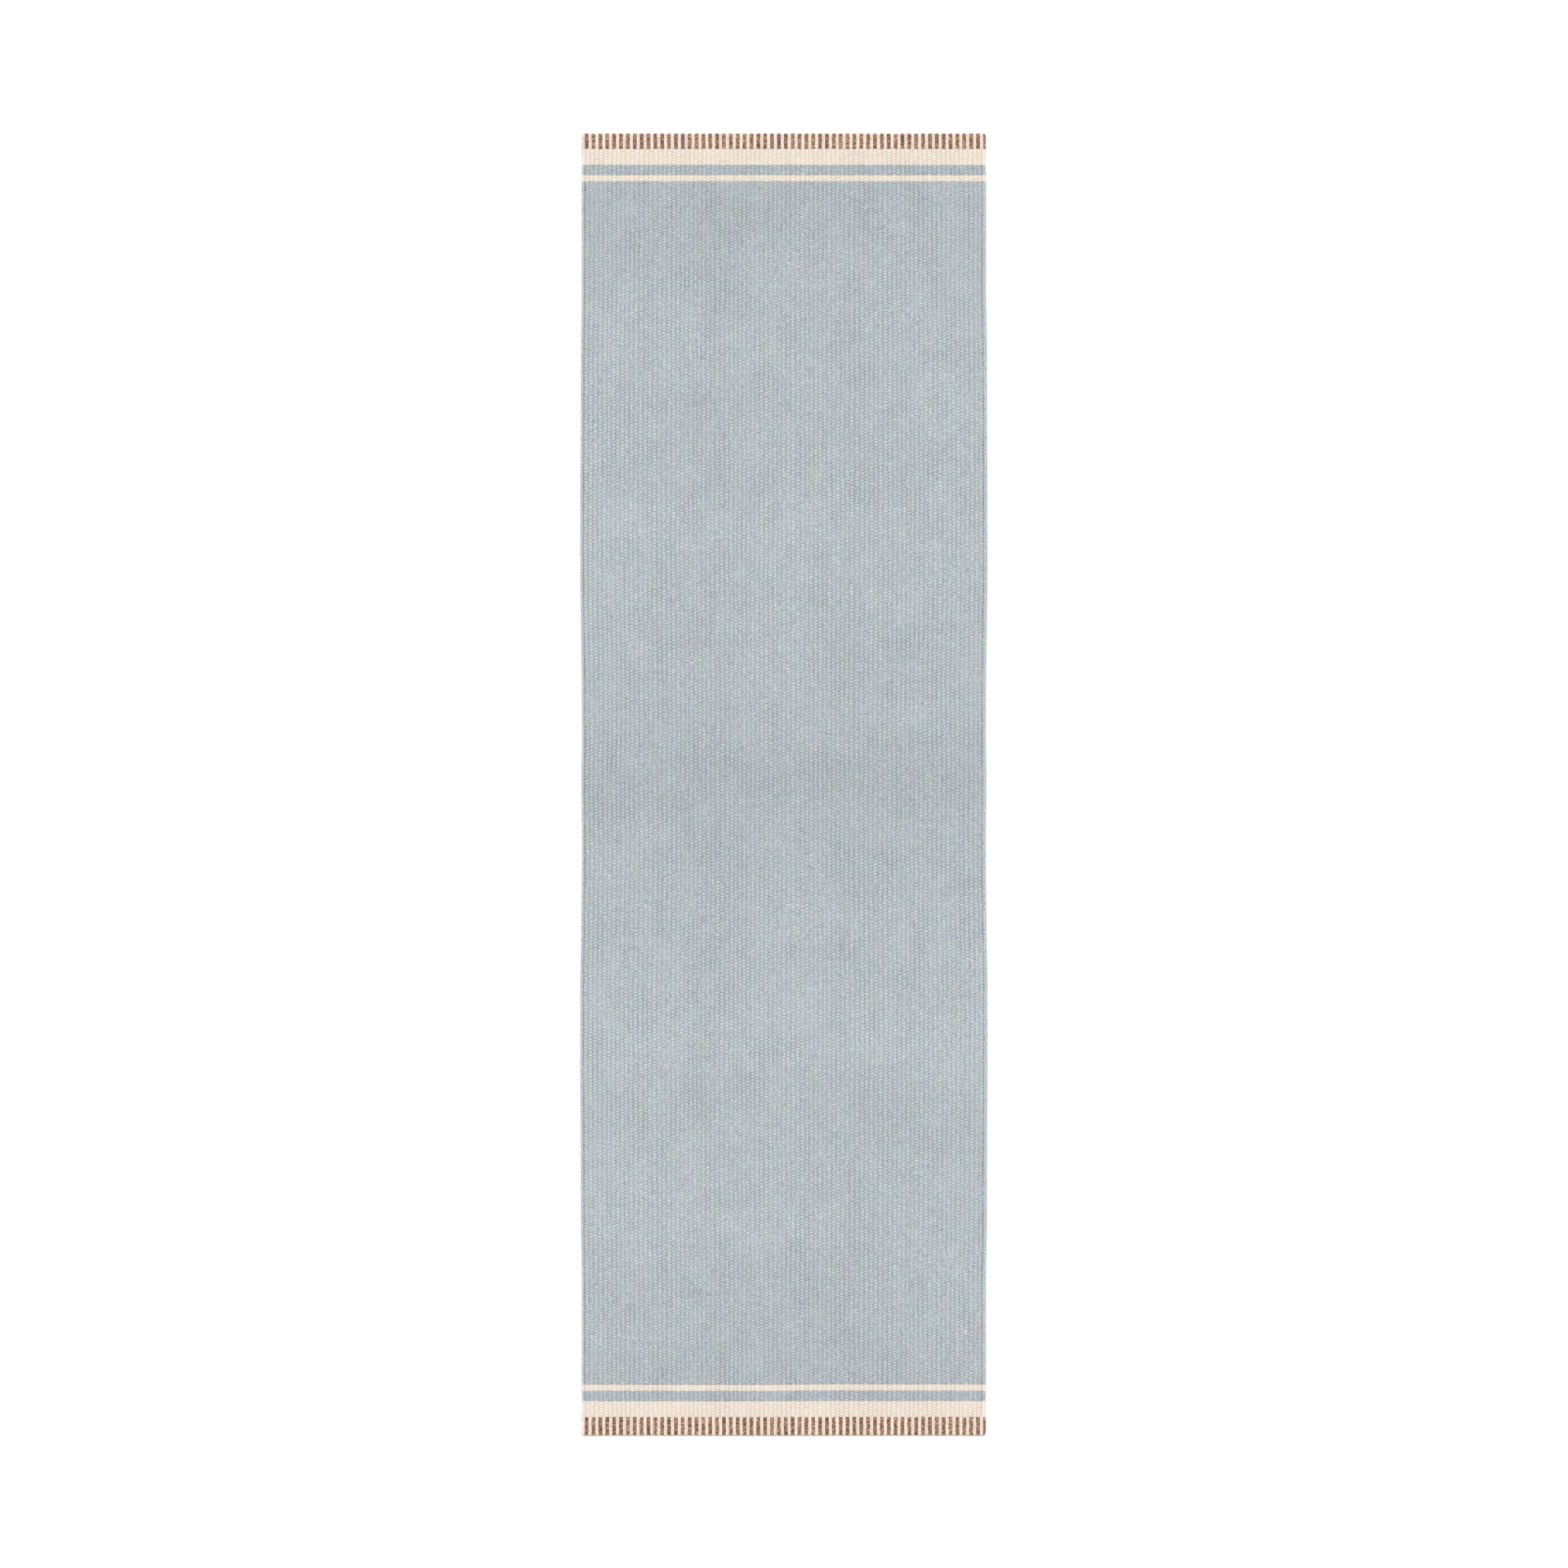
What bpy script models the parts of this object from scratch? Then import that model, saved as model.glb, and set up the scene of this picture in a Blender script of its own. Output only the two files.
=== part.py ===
"""Runner rug: a thick weft-faced flatweave with colour bands and two-colour overcast ends.

Metres, +Z up. X runs across the rug and Y along it, with the head end at +Y.
The origin is at the middle of the underside, so the rug lies on Z = 0.
"""

import math

import bmesh
import bpy
from mathutils import Matrix, Vector

# Driving dimensions
WIDTH = 0.760
LENGTH = 2.440
THICKNESS = 0.007
GAP = 0.0003

# Lengths along Y of the bands at each end
HEAD_WHIPPING = 0.0294
FOOT_WHIPPING = 0.0341
CREAM_BAND = 0.0303
ACCENT_BAND = 0.0193
PINSTRIPE_BAND = 0.0116

# Warp layer: cords laid side by side in one flat slot inside the weft
WARP_COLUMNS = 88
WARP_DIAMETER = 0.0022
SELVEDGE_DIAMETER = 0.0026
SELVEDGE_STRIP = 0.0046
SELVEDGE_WALL = 0.0012
BAND_EDGE_RADIUS = 0.0025
BAND_EDGE_SEGMENTS = 3
HAIRPIN_SEGMENTS = 4
HAIRPIN_BEVEL_RESOLUTION = 1
SELVEDGE_BEVEL_RESOLUTION = 2

# Hem: the turned end of the cloth, which the whipping is stitched through
HEM_THICKNESS = 0.0026
HEM_TUCK = 0.012
HEM_SIDE_INSET = 0.0004

# Whipping: cream and brown stitches taking turns over the end of the rug
STITCH_PAIRS = 59
CREAM_STITCH_WIDTH = 0.0057
NEEDLE_PINCH = 0.001

# Worked out from the above
HALF_WIDTH = WIDTH / 2
HALF_LENGTH = LENGTH / 2
MID_HEIGHT = THICKNESS / 2
STITCH_PITCH = WIDTH / STITCH_PAIRS
BROWN_STITCH_WIDTH = STITCH_PITCH - CREAM_STITCH_WIDTH - 2 * GAP
STITCH_THICKNESS = (THICKNESS - HEM_THICKNESS) / 2 - GAP
SLOT_HEIGHT = HEM_THICKNESS + 2 * GAP
SLOT_HALF_WIDTH = HALF_WIDTH - SELVEDGE_WALL
WARP_PITCH = (WIDTH - 2 * SELVEDGE_STRIP) / WARP_COLUMNS
OVERCUT = 0.005

YARN_ROUGHNESS = 0.9
CREAM = (0.84, 0.75, 0.65)
FIELD_BLUE_GREY = (0.46, 0.51, 0.53)
ACCENT_SLATE = (0.41, 0.48, 0.52)
BROWN = (0.35, 0.22, 0.15)
WARP_COTTON = (0.78, 0.73, 0.63)


def clear_scene():
    for obj in list(bpy.data.objects):
        bpy.data.objects.remove(obj, do_unlink=True)


def add_collection(name):
    collection = bpy.data.collections.new(name)
    bpy.context.scene.collection.children.link(collection)
    return collection


def yarn_material(name, colour):
    material = bpy.data.materials.new(name)
    material.use_nodes = True
    shader = material.node_tree.nodes["Principled BSDF"]
    shader.inputs["Base Color"].default_value = (*colour, 1)
    shader.inputs["Roughness"].default_value = YARN_ROUGHNESS
    shader.inputs["Metallic"].default_value = 0
    return material


def add_object(name, data, collection, material):
    obj = bpy.data.objects.new(name, data)
    data.materials.append(material)
    collection.objects.link(obj)
    return obj


def box_bmesh(low, high):
    """A box between two corners."""
    low = Vector(low)
    high = Vector(high)
    size = high - low
    place = Matrix.Translation((low + high) / 2) @ Matrix.Diagonal((*size, 1))
    box = bmesh.new()
    bmesh.ops.create_cube(box, size=1, matrix=place)
    return box


def mesh_from(box, name):
    mesh = bpy.data.meshes.new(name)
    box.to_mesh(mesh)
    box.free()
    return mesh


def add_cutter(name, low, high):
    cutter = bpy.data.objects.new(name, mesh_from(box_bmesh(low, high), name))
    cutter.hide_render = True
    cutter.display_type = "WIRE"
    cutters.objects.link(cutter)
    return cutter


def cut(obj, cutter):
    modifier = obj.modifiers.new("cut", "BOOLEAN")
    modifier.operation = "DIFFERENCE"
    modifier.solver = "EXACT"
    modifier.object = cutter


def round_long_edges(box):
    """Rounds the four edges that run along Y."""
    long_edges = [
        edge
        for edge in box.edges
        if abs(edge.verts[0].co.y - edge.verts[1].co.y) > GAP
    ]
    bmesh.ops.bevel(
        box,
        geom=long_edges,
        offset=BAND_EDGE_RADIUS,
        segments=BAND_EDGE_SEGMENTS,
        profile=0.5,
        affect="EDGES",
    )


def weft_band(name, low_y, high_y, material):
    """One colour of weft: a flat sleeve, beaten tight round the whole warp layer."""
    low_y = low_y + GAP / 2
    high_y = high_y - GAP / 2
    box = box_bmesh((-HALF_WIDTH, low_y, 0), (HALF_WIDTH, high_y, THICKNESS))
    round_long_edges(box)
    mesh = mesh_from(box, name)
    mesh.shade_smooth()
    mesh.set_sharp_from_angle(angle=math.radians(45))
    band = add_object(name, mesh, parts, material)
    slot = add_cutter(
        name + "_slot",
        (-SLOT_HALF_WIDTH, low_y - OVERCUT, MID_HEIGHT - SLOT_HEIGHT / 2),
        (SLOT_HALF_WIDTH, high_y + OVERCUT, MID_HEIGHT + SLOT_HEIGHT / 2),
    )
    cut(band, slot)


def weft_bands():
    """Works inwards from both ends, then fills what is left with the field."""
    head = HALF_LENGTH - HEAD_WHIPPING
    foot = -HALF_LENGTH + FOOT_WHIPPING
    for colour_name, length, material in (
        ("cream", CREAM_BAND, cream_yarn),
        ("accent", ACCENT_BAND, accent_yarn),
        ("pinstripe", PINSTRIPE_BAND, cream_yarn),
    ):
        weft_band(colour_name + "_weft_head", head - length, head, material)
        weft_band(colour_name + "_weft_foot", foot, foot + length, material)
        head -= length
        foot += length
    weft_band("field_weft", foot, head, field_yarn)


def cord(name, points, diameter, bevel_resolution):
    curve = bpy.data.curves.new(name, "CURVE")
    curve.dimensions = "3D"
    curve.bevel_depth = diameter / 2
    curve.bevel_resolution = bevel_resolution
    curve.use_fill_caps = True
    spline = curve.splines.new("POLY")
    spline.points.add(len(points) - 1)
    for spline_point, point in zip(spline.points, points):
        spline_point.co = (*point, 1)
    add_object(name, curve, parts, warp_cotton)


def warp_reach():
    """The Y values where the warp stops, just short of the two hems."""
    foot = -HALF_LENGTH + FOOT_WHIPPING + HEM_TUCK + GAP
    head = HALF_LENGTH - HEAD_WHIPPING - HEM_TUCK - GAP
    return foot, head


def warp_loop(number, middle_x):
    """Two columns of warp as one cord, turned back on itself at the head end."""
    foot, head = warp_reach()
    turn_radius = WARP_PITCH / 2
    turn_y = head - WARP_DIAMETER / 2 - turn_radius
    points = [(middle_x - turn_radius, foot, MID_HEIGHT)]
    for step in range(HAIRPIN_SEGMENTS + 1):
        angle = math.pi * (1 - step / HAIRPIN_SEGMENTS)
        x = middle_x + turn_radius * math.cos(angle)
        y = turn_y + turn_radius * math.sin(angle)
        points.append((x, y, MID_HEIGHT))
    points.append((middle_x + turn_radius, foot, MID_HEIGHT))
    cord(f"warp_loop_{number:02d}", points, WARP_DIAMETER, HAIRPIN_BEVEL_RESOLUTION)


def warp_loops():
    first_x = -HALF_WIDTH + SELVEDGE_STRIP + WARP_PITCH
    for index in range(WARP_COLUMNS // 2):
        warp_loop(index + 1, first_x + 2 * index * WARP_PITCH)


def selvedge_cords():
    """A thicker cord at each side edge, which the weft turns round."""
    foot, head = warp_reach()
    x = SLOT_HALF_WIDTH - GAP - SELVEDGE_DIAMETER / 2
    for name, side in (("selvedge_cord_left", -1), ("selvedge_cord_right", 1)):
        points = [(side * x, foot, MID_HEIGHT), (side * x, head, MID_HEIGHT)]
        cord(name, points, SELVEDGE_DIAMETER, SELVEDGE_BEVEL_RESOLUTION)


def stitch_middle(index, is_brown):
    """The X of one stitch. Each pair has its cream stitch first, then its brown one."""
    pair_left = -HALF_WIDTH + index * STITCH_PITCH
    if is_brown:
        return pair_left + STITCH_PITCH - GAP / 2 - BROWN_STITCH_WIDTH / 2
    return pair_left + GAP / 2 + CREAM_STITCH_WIDTH / 2


def yarn_section(middle_x, half_width, outside, inside):
    """Four corners of the yarn's section, from (y, z) on its outside to (y, z) on its inside."""
    left = middle_x - half_width
    right = middle_x + half_width
    return [(left, *outside), (right, *outside), (right, *inside), (left, *inside)]


def whipping_sections(width, is_brown, side, inner, outer):
    """Sections along one yarn: over the hem, round its edge, slanting back under it, and up."""
    top = THICKNESS
    t = STITCH_THICKNESS
    full = width / 2
    pinched = full - NEEDLE_PINCH
    needle = (side * inner, side * (inner + t))
    edge = (side * outer, side * (outer - t))
    sections = []
    for index in range(STITCH_PAIRS):
        x = stitch_middle(index, is_brown)
        sections.append(yarn_section(x, pinched, (needle[0], 0), (needle[1], t)))
        sections.append(yarn_section(x, pinched, (needle[0], top), (needle[1], top - t)))
        sections.append(yarn_section(x, full, (edge[0], top), (edge[1], top - t)))
        sections.append(yarn_section(x, full, (edge[0], 0), (edge[1], t)))
    return sections


def sweep(sections):
    """A closed body made by extruding the first section through all the others."""
    body = bmesh.new()
    start_cap = body.faces.new([body.verts.new(corner) for corner in sections[0]])
    face = start_cap
    for section in sections[1:]:
        made = bmesh.ops.extrude_face_region(body, geom=[face])["geom"]
        if face is not start_cap:
            body.faces.remove(face)
        face = next(part for part in made if isinstance(part, bmesh.types.BMFace))
        for vertex, corner in zip(face.verts, section):
            vertex.co = corner
    bmesh.ops.recalc_face_normals(body, faces=body.faces)
    return body


def whipping(end_name, side, band_length):
    """The two overcasting yarns of one end, each one continuous length."""
    inner = HALF_LENGTH - band_length
    for colour_name, width, is_brown, material in (
        ("cream", CREAM_STITCH_WIDTH, False, cream_yarn),
        ("brown", BROWN_STITCH_WIDTH, True, brown_yarn),
    ):
        name = f"{colour_name}_whipping_{end_name}"
        sections = whipping_sections(width, is_brown, side, inner, HALF_LENGTH)
        add_object(name, mesh_from(sweep(sections), name), parts, material)


def needle_holes(name, side, inner):
    """One hole for each pair of stitches, repeated across the hem."""
    low_x = stitch_middle(0, False) - CREAM_STITCH_WIDTH / 2 + NEEDLE_PINCH - GAP
    high_x = stitch_middle(0, True) + BROWN_STITCH_WIDTH / 2 - NEEDLE_PINCH + GAP
    ends = sorted((side * (inner - GAP), side * (inner + STITCH_THICKNESS + GAP)))
    low = (low_x, ends[0], MID_HEIGHT - HEM_THICKNESS)
    high = (high_x, ends[1], MID_HEIGHT + HEM_THICKNESS)
    holes = add_cutter(name, low, high)
    repeat = holes.modifiers.new("repeat", "ARRAY")
    repeat.count = STITCH_PAIRS
    repeat.use_relative_offset = False
    repeat.use_constant_offset = True
    repeat.constant_offset_displace = (STITCH_PITCH, 0, 0)
    return holes


def hem(end_name, side, band_length):
    """The cloth's end turned flat: tucked inside the cream weft and held by the whipping."""
    name = "hem_fold_" + end_name
    inner = HALF_LENGTH - band_length
    half_width = SLOT_HALF_WIDTH - HEM_SIDE_INSET
    ends = sorted((side * (inner - HEM_TUCK), side * (HALF_LENGTH - STITCH_THICKNESS - GAP)))
    low = (-half_width, ends[0], MID_HEIGHT - HEM_THICKNESS / 2)
    high = (half_width, ends[1], MID_HEIGHT + HEM_THICKNESS / 2)
    plate = add_object(name, mesh_from(box_bmesh(low, high), name), parts, cream_yarn)
    cut(plate, needle_holes(name + "_needle_holes", side, inner))


clear_scene()
parts = add_collection("runner_rug")
cutters = add_collection("cutters")
field_yarn = yarn_material("field_yarn", FIELD_BLUE_GREY)
accent_yarn = yarn_material("accent_yarn", ACCENT_SLATE)
cream_yarn = yarn_material("cream_yarn", CREAM)
brown_yarn = yarn_material("brown_yarn", BROWN)
warp_cotton = yarn_material("warp_cotton", WARP_COTTON)
weft_bands()
warp_loops()
selvedge_cords()
for rug_end in (("head", 1, HEAD_WHIPPING), ("foot", -1, FOOT_WHIPPING)):
    hem(*rug_end)
    whipping(*rug_end)
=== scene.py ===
"""Looks of the runner rug: its weave, its overcast ends, its yarns, and a studio around it.

Metres, in the CAD model's frame: X across the rug, Y along it with the head end at +Y, +Z up.

The weave is weft-faced. Each warp makes one rib, called a column here, and each float of weft
over a warp makes one bead. Neighbouring columns' beads are staggered by half a bead. The mesh
has LINES_PER_COLUMN lines across each column and ROWS_PER_BEAD rows along each bead.
"""

import math

import bpy
import numpy as np
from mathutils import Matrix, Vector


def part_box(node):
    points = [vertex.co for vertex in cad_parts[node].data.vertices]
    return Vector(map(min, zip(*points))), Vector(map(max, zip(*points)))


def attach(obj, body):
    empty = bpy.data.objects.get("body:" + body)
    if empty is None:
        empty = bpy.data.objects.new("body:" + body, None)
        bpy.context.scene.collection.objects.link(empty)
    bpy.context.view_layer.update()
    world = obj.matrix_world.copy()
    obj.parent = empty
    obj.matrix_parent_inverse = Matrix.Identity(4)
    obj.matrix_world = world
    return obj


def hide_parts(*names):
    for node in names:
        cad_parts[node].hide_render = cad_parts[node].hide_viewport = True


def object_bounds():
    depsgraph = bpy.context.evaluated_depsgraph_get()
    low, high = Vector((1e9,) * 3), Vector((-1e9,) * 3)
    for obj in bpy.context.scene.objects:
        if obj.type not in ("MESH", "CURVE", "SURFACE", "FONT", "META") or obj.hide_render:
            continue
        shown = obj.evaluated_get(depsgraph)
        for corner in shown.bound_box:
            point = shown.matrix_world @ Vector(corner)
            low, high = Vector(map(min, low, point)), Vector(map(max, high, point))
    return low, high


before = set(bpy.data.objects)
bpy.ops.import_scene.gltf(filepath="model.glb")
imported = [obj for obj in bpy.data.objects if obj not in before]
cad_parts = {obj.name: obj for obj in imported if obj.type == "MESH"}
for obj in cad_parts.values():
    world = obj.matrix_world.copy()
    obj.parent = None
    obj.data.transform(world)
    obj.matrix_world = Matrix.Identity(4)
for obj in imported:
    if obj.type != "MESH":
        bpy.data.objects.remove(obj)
cad_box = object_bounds()
LOW, HIGH = [np.array(corner) for corner in cad_box]
MIDDLE = (LOW[2] + HIGH[2]) / 2

SEED = 20
ACROSS_RUG = np.array([1.0, 0.0, 0.0])
LATTICE_SPARE = 5

# The weave: ACROSS is where the mesh lines lie in a column, as shares of its width. A pitch is the
# length of one bead. GROOVE_INSETS is how far in from the left and right edges the groove beside
# each selvedge is, GROOVE_FLANK how much is left of the beads' height right beside it, and
# TIP_REACH how far a bead's tips reach past its column, as a share of a column's width.
COLUMNS = 88
COLUMN_JITTER = 0.07
ACROSS = (0.0, 0.19, 0.5, 0.81)
LINES_PER_COLUMN = len(ACROSS)
ROWS_PER_BEAD = 4
END_PITCH = 0.0054
MIDDLE_PITCH = 0.0061
PITCH_CHANGE_START = 1.15
PITCH_CHANGE_LENGTH = 0.55
PITCH_RIPPLE = 0.05
PITCH_RIPPLE_LENGTH = 0.07
PITCH_SAMPLES = 2000
GROOVE_INSETS = (0.0055, 0.0072)
GROOVE_FLANK = 0.55
FIELD_LENGTHS = 9
TIP_REACH = 0.15

# Heights above and below the middle of the cloth
CROWN_HEIGHT = 0.0035
CREVICE_HEIGHT = 0.0014

# Height of a bead at the lines across it: in the valley before it, then on its rise, its crown
# and its fall. 1 is CROWN_HEIGHT and 0 is CREVICE_HEIGHT. The first line is the crevice between
# two columns, where the pits lie deeper still.
BEAD_SHAPE = (
    (-0.30, 0.06, 0.34, 0.06),
    (0.68, 0.70, 0.86, 0.70),
    (-0.30, 0.84, 0.98, 0.84),
    (0.68, 0.70, 0.86, 0.70),
)

# The height that stays where it is when relief grows or shrinks, and how much whole beads and
# single points of the mesh differ in height
MEAN_HEIGHT = 0.55
BEAD_JITTER = 0.06
BEAD_JITTER_LIMITS = (0.75, 1.1)
FIBRE_JITTER = 0.09

# How the warps and the picks wander in plan, and how the relief changes from place to place,
# each as (amount, cell across, cell along)
WARP_WANDER = ((0.0007, 0.03, 0.07), (0.0003, 0.006, 0.0055))
PICK_WANDER = ((0.0011, 0.16, 0.10), (0.0004, 0.0045, 0.0055))
PICKS_STRAIGHTEN = 0.16
RELIEF = 0.75
RELIEF_CHANGES = ((0.17, 0.030, 0.045), (0.1, 0.010, 0.014))
RELIEF_LIMITS = (0.4, 1.35)

# How far the cloth stands off the floor along its sides, in long waves that run a little askew,
# and at its ends. START is how far from the middle of the rug that begins, FADE how soon it is full.
SIDE_LIFT = 0.0010
SIDE_LIFT_LENGTH = 0.83
SIDE_LIFT_SKEW = 0.1
SIDE_LIFT_SKEW_RATE = 7
SIDE_LIFT_START = 0.2
SIDE_LIFT_FADE = 0.18
END_LIFT = 0.0008
END_LIFT_LENGTH = 0.51
END_LIFT_PHASE = 0.3
END_LIFT_START = 0.9
END_LIFT_FADE = 0.32

# How much beads differ in tone, how much lighter or darker the weft is at stations from the middle
# of the rug to an end, and the soft darker streaks that run along it on both sides of its middle
BEAD_TONE = 0.012
LENGTH_TONE_STATIONS = (0.03, 0.06, 0.09, 0.24, 0.42, 0.50, 0.57, 0.88, 1.10)
LENGTH_TONES = (-0.068, -0.050, -0.030, -0.006, 0.009, 0.024, 0.000, 0.002, -0.029)
STREAK_X = 0.13
STREAK_REACH = 0.035
STREAK_DEPTH = 0.024
STREAK_WANDER = 0.02
STREAK_WANDER_LENGTH = 0.25
STREAK_CHANGE = 0.7
STREAK_CHANGE_LENGTH = 0.2
STREAK_START = 0.05
SIDE_LIGHTNESS = 0.010
SIDE_LIGHTNESS_START = 0.22
SIDE_LIGHTNESS_FADE = 0.1

# Selvedge lines as (share of the way in to the groove, height from 0 to 1, crevice value that sets its
# painted shade)
SELVEDGE = (
    (0.0, 0.17, 0.8),
    (0.12, 0.66, 0.85),
    (0.36, 0.93, 0.85),
    (0.66, 0.80, 0.6),
)
SELVEDGE_RIPPLE = 0.02

# How far the side edge swells in and out, from the middle of the rug to an end
EDGE_STATIONS = (0.0, 0.09, 0.18, 0.28, 0.37, 0.55, 0.66, 0.83, 0.92, 1.14, 1.165, 1.22)
EDGE_SWELLS = (
    -0.0007, -0.0019, -0.0015, -0.0004, 0.0012, 0.0012,
    0.0005, 0.0, -0.0016, -0.0014, -0.0028, -0.0028,
)
EDGE_SMOOTHING = 0.012
EDGE_SAMPLES = 7

# The overcast ends: a cream and a brown stitch make a pair, and FIRST_CREAM and FIRST_BROWN are
# how far in from the left edge the first of each is. The last brown one is crowded into less
# room. The rug's corners are drawn in along an arc, up to CORNER_LIMIT of its radius.
STITCH_PAIRS = 59
STITCH_MARGIN = 0.0006
LAST_STITCH_ROOM = 0.0045
LAST_STITCH_SQUEEZE = 0.5
FIRST_CREAM = 0.0042
FIRST_BROWN = 0.0109
CORNER_RADIUS = 0.006
CORNER_LIMIT = 0.98
CORNER_REACH = 0.022
CORNER_FADE = 0.02

# A stitch's path: the needle's line is NEEDLE_OFFSET from the CAD yarn's inner edge towards the
# rug's end, TURN_RADIUS is that of the path where it turns, and WOBBLE how far it wanders sideways.
# At the rug's end it is drawn flat and its plies settle side by side, lapping over each other by
# END_LAP of their swing. Its two strands lie STRAND_OFFSET to each side of the path, with their
# twists set apart by STRAND_PHASE_LENGTH, and each has two plies of PLY_SIDES faces.
TURN_RADIUS = 0.0021
NEEDLE_OFFSET = 0.0012
END_FLATNESS = 0.0011
PLY_SQUARENESS = 0.65
END_SETTLED = 0.0028
END_LAP = 0.3
STRAND_OFFSET = 0.0015
STRAND_PHASE_LENGTH = 0.0037
PLY_SIDES = 8
WOBBLE = 0.00018
WOBBLE_LENGTHS = (0.0043, 0.017)
WOBBLE_DRIFT = 3

# How each yarn is made: which way its two strands twist and how long a twist is, how far its plies
# wind sideways and up and down, how big they are, how much plies and stitches differ in tone,
# below which height it is painted with shade, and how loosely the twist follows on from stitch to
# stitch
BROWN_STYLE = {
    "twists": (1, -1),
    "lay": 0.0125,
    "spread": 0.0007,
    "swing": 0.0005,
    "half_width": 0.00138,
    "half_height": 0.00105,
    "ply_tone": 0.12,
    "stitch_tone": 0.11,
    "painted_shade_below": 0.3,
    "loose": 0.5,
}
CREAM_STYLE = {
    "twists": (-1, -1),
    "lay": 0.0062,
    "spread": 0.0004,
    "swing": 0.0003,
    "half_width": 0.00134,
    "half_height": 0.0011,
    "ply_tone": 0.02,
    "stitch_tone": 0.03,
    "painted_shade_below": -0.2,
    "loose": 0.15,
}

# The hem inside the stitches: HEM_RIM is half its thickness at its edges, HEM_BULGE how much more
# there is further in, HEM_RIB how much the warps make it come and go, and HEM_CREVICE its crevice
# value, which sets an even painted shade over it
HEM_ROUNDING = 0.003
HEM_RIM = 0.0002
HEM_BULGE = 0.0009
HEM_RIB = 0.15
HEM_RIB_PITCH = 0.0085
HEM_CREVICE = 0.4
HEM_LINES = 120
HEM_ROWS = 14


# ---------------------------------------------------------------- small mathematics


def smooth_step(t):
    t = np.clip(t, 0, 1)
    return t * t * (3 - 2 * t)


def bell(rng, shape, limit=2.0):
    """Random values that are mostly near 0, as on a bell curve, and never past the limit."""
    return np.clip(rng.standard_normal(shape), -limit, limit)


def value_noise(rng, x, y, cell_x, cell_y):
    """Smooth random values from -1 to 1, on a lattice of the given cells over the whole rug.

    The lattice has spare cells all round, for points that stray out of the CAD model's box.
    """
    u = (x - LOW[0]) / cell_x + 1
    v = (y - LOW[1]) / cell_y + 1
    size_u = int((HIGH[0] - LOW[0]) / cell_x) + LATTICE_SPARE
    size_v = int((HIGH[1] - LOW[1]) / cell_y) + LATTICE_SPARE
    lattice = rng.uniform(-1, 1, (size_u, size_v))
    u = np.clip(u, 0, size_u - 2)
    v = np.clip(v, 0, size_v - 2)
    i = u.astype(int)
    j = v.astype(int)
    s = smooth_step(u - i)
    t = smooth_step(v - j)
    near = lattice[i, j] * (1 - s) + lattice[i + 1, j] * s
    far = lattice[i, j + 1] * (1 - s) + lattice[i + 1, j + 1] * s
    return near * (1 - t) + far * t


def lift(x, y):
    """How far the cloth stands off the floor where it hasn't quite settled."""
    skew = SIDE_LIFT_SKEW * np.sin(SIDE_LIFT_SKEW_RATE * x)
    along = 0.5 + 0.5 * np.sin(2 * math.pi * (y / SIDE_LIFT_LENGTH + skew))
    edge = smooth_step((np.abs(x) - SIDE_LIFT_START) / SIDE_LIFT_FADE)
    ends = smooth_step((np.abs(y) - END_LIFT_START) / END_LIFT_FADE)
    across = 0.5 + 0.5 * np.sin(2 * math.pi * (x / END_LIFT_LENGTH + END_LIFT_PHASE))
    return SIDE_LIFT * along * edge + END_LIFT * ends * across


def edge_swell(y):
    """The swell at each Y, averaged over a short stretch so that it has no corners."""
    around = EDGE_SMOOTHING * np.linspace(-1, 1, EDGE_SAMPLES)[:, None]
    return np.interp(np.abs(y[None, :] + around), EDGE_STATIONS, EDGE_SWELLS).mean(0)


# ---------------------------------------------------------------- meshes


def add_mesh(name, points, faces, material):
    """An object from points and a list of face arrays, each with its own number of corners."""
    mesh = bpy.data.meshes.new(name)
    corners = np.concatenate([f.ravel() for f in faces]).astype(np.int32)
    sizes = np.concatenate([np.full(len(f), f.shape[1]) for f in faces]).astype(np.int32)
    starts = np.concatenate([[0], np.cumsum(sizes)[:-1]]).astype(np.int32)
    mesh.vertices.add(len(points))
    mesh.vertices.foreach_set("co", points.astype(np.float32).ravel())
    mesh.loops.add(len(corners))
    mesh.loops.foreach_set("vertex_index", corners)
    mesh.polygons.add(len(sizes))
    mesh.polygons.foreach_set("loop_start", starts)
    mesh.update(calc_edges=True)
    mesh.shade_smooth()
    mesh.materials.append(material)
    obj = bpy.data.objects.new(name, mesh)
    bpy.context.scene.collection.objects.link(obj)
    return obj


def renumbered(faces):
    """The same faces numbered over only the points that they use, and those points."""
    used, local = np.unique(np.concatenate([group.ravel() for group in faces]), return_inverse=True)
    cuts = np.cumsum([group.size for group in faces])[:-1]
    parts = np.split(local, cuts)
    return [part.reshape(group.shape) for part, group in zip(parts, faces)], used


def set_normals(mesh, normals, first_wall):
    """Smooth normals everywhere but on the four-cornered walls across the rug, which are flat."""
    corners = np.zeros(len(mesh.loops), np.int32)
    mesh.loops.foreach_get("vertex_index", corners)
    sizes = np.zeros(len(mesh.polygons), np.int32)
    mesh.polygons.foreach_get("loop_total", sizes)
    face_normals = np.zeros(3 * len(sizes), np.float32)
    mesh.polygons.foreach_get("normal", face_normals)
    face_normals = np.repeat(face_normals.reshape(-1, 3), sizes, axis=0)
    flat = (np.arange(len(sizes)) >= first_wall) & (sizes == 4)
    flat = np.repeat(flat, sizes)[:, None]
    mesh.normals_split_custom_set(np.where(flat, face_normals, normals[corners]))


def add_attribute(obj, name, domain, values):
    """One number for each point or face, which the materials read by name."""
    layer = obj.data.attributes.new(name, "FLOAT", domain)
    layer.data.foreach_set("value", np.ascontiguousarray(values, np.float32).ravel())


def finish_piece(obj, nodes):
    """Every piece rides on the rug's one body and stands for CAD nodes."""
    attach(obj, "root")
    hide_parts(*nodes)


# ---------------------------------------------------------------- the weave


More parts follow.
